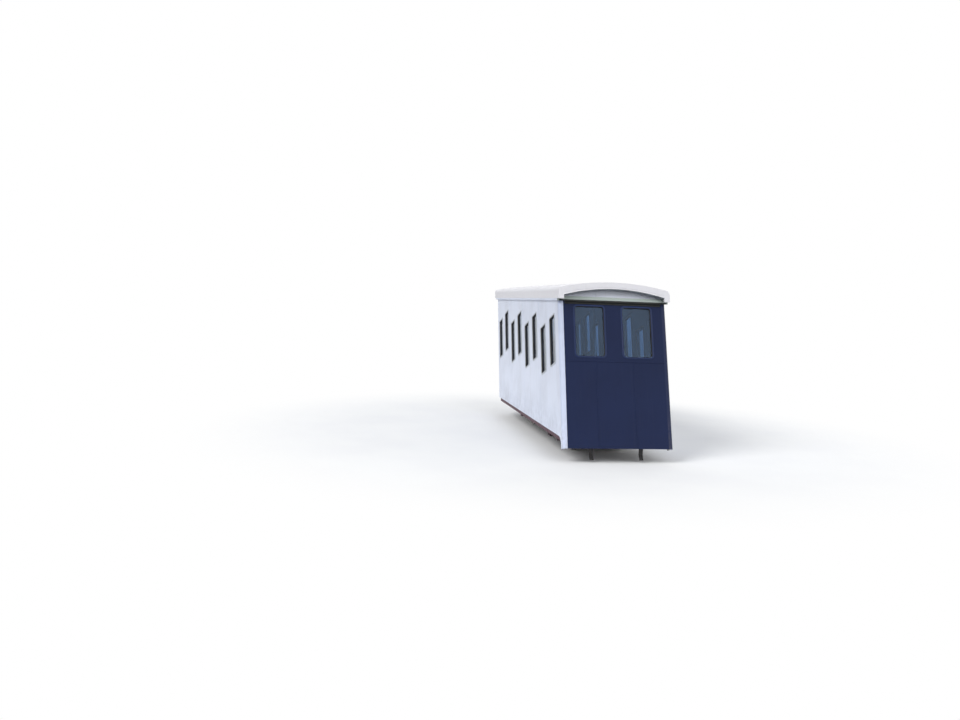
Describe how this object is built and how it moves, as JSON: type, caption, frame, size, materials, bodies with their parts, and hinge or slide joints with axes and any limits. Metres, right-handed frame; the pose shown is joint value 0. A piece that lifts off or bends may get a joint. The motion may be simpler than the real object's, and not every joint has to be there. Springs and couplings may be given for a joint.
{
  "type": "funicular car",
  "caption": "Upright stepped funicular car with plumb ends, arched roof parallel to the track, tall side windows, swing doors and wheelsets of grooved and drum wheels.",
  "frame": {"origin": "middle of the bounding box in plan, on the plane that the wheel flanges stand on", "axes": "+Y uphill along the rails, +X to the right looking uphill, +Z square to the track; the car's plumb line leans towards +Y by the slope of the track"},
  "size_m": [2.28, 7.9191, 3.472],
  "materials": {
    "side_paint": "satin white paint",
    "end_paint": "gloss navy paint",
    "roof_paint": "satin white paint",
    "trim_paint": "satin pale paint",
    "window_glass": "clear toughened glass",
    "floor_covering": "ribbed floor covering",
    "bench_wood": "varnished boards",
    "pole_steel": "polished tube",
    "desk_paint": "satin grey paint",
    "underframe_paint": "dark red oxide paint",
    "gear_paint": "black oily paint",
    "wheel_steel": "rolled steel, worn bright on the tread",
    "axle_steel": "turned steel",
    "hinge_steel": "plain steel"
  },
  "bodies": {
    "body": {"axle_boxes": "gear_paint", "axle_guards": "underframe_paint", "benches": "bench_wood", "control_desk": "desk_paint", "corner_posts": "side_paint", "cornice": "trim_paint", "cross_members": "underframe_paint", "door_hinges": "hinge_steel", "glass_left": "window_glass", "glass_lower_end": "window_glass", "glass_right": "window_glass", "glass_upper_end": "window_glass", "grab_poles": "pole_steel", "headstock_lower": "underframe_paint", "headstock_upper": "underframe_paint", "leaf_springs": "gear_paint", "left_side_wall": "side_paint", "lower_end_wall": "end_paint", "rail_brakes": "gear_paint", "rail_guards": "underframe_paint", "right_bay_1": "side_paint", "right_bay_2": "side_paint", "right_bay_3": "side_paint", "right_bay_4": "side_paint", "roof_shell": "roof_paint", "rope_anchor": "underframe_paint", "sole_bar_left": "underframe_paint", "sole_bar_right": "underframe_paint", "stepped_floor": "floor_covering", "stringer_left": "underframe_paint", "stringer_right": "underframe_paint", "upper_end_wall": "end_paint", "window_frames_left": "trim_paint", "window_frames_lower_end": "trim_paint", "window_frames_right": "trim_paint", "window_frames_upper_end": "trim_paint"},
    "wheelset_lower": {"axle_lower": "axle_steel", "wheels_lower": "wheel_steel"},
    "wheelset_upper": {"axle_upper": "axle_steel", "wheels_upper": "wheel_steel"},
    "door_1": {"door_1": "side_paint", "door_glass_1": "window_glass"},
    "door_2": {"door_2": "side_paint", "door_glass_2": "window_glass"},
    "door_3": {"door_3": "side_paint", "door_glass_3": "window_glass"},
    "door_4": {"door_4": "side_paint", "door_glass_4": "window_glass"}
  },
  "joints": [
    {"name": "wheelset_lower_turn", "type": "hinge", "parent": "body", "child": "wheelset_lower", "pos_m": [0, -2.45271, 0.28], "axis": [1, 0, 0], "continuous": true},
    {"name": "wheelset_upper_turn", "type": "hinge", "parent": "body", "child": "wheelset_upper", "pos_m": [0, 1.14729, 0.28], "axis": [1, 0, 0], "continuous": true},
    {"name": "door_1_swing", "type": "hinge", "parent": "body", "child": "door_1", "pos_m": [1.118, -3.22318, 2.0043], "axis": [0, -0.2873, -0.9578], "range_deg": [0, 90]},
    {"name": "door_2_swing", "type": "hinge", "parent": "body", "child": "door_2", "pos_m": [1.118, -1.59449, 2.0043], "axis": [0, -0.2873, -0.9578], "range_deg": [0, 90]},
    {"name": "door_3_swing", "type": "hinge", "parent": "body", "child": "door_3", "pos_m": [1.118, 0.03419, 2.0043], "axis": [0, -0.2873, -0.9578], "range_deg": [0, 90]},
    {"name": "door_4_swing", "type": "hinge", "parent": "body", "child": "door_4", "pos_m": [1.118, 1.66288, 2.0043], "axis": [0, -0.2873, -0.9578], "range_deg": [0, 90]}
  ]
}
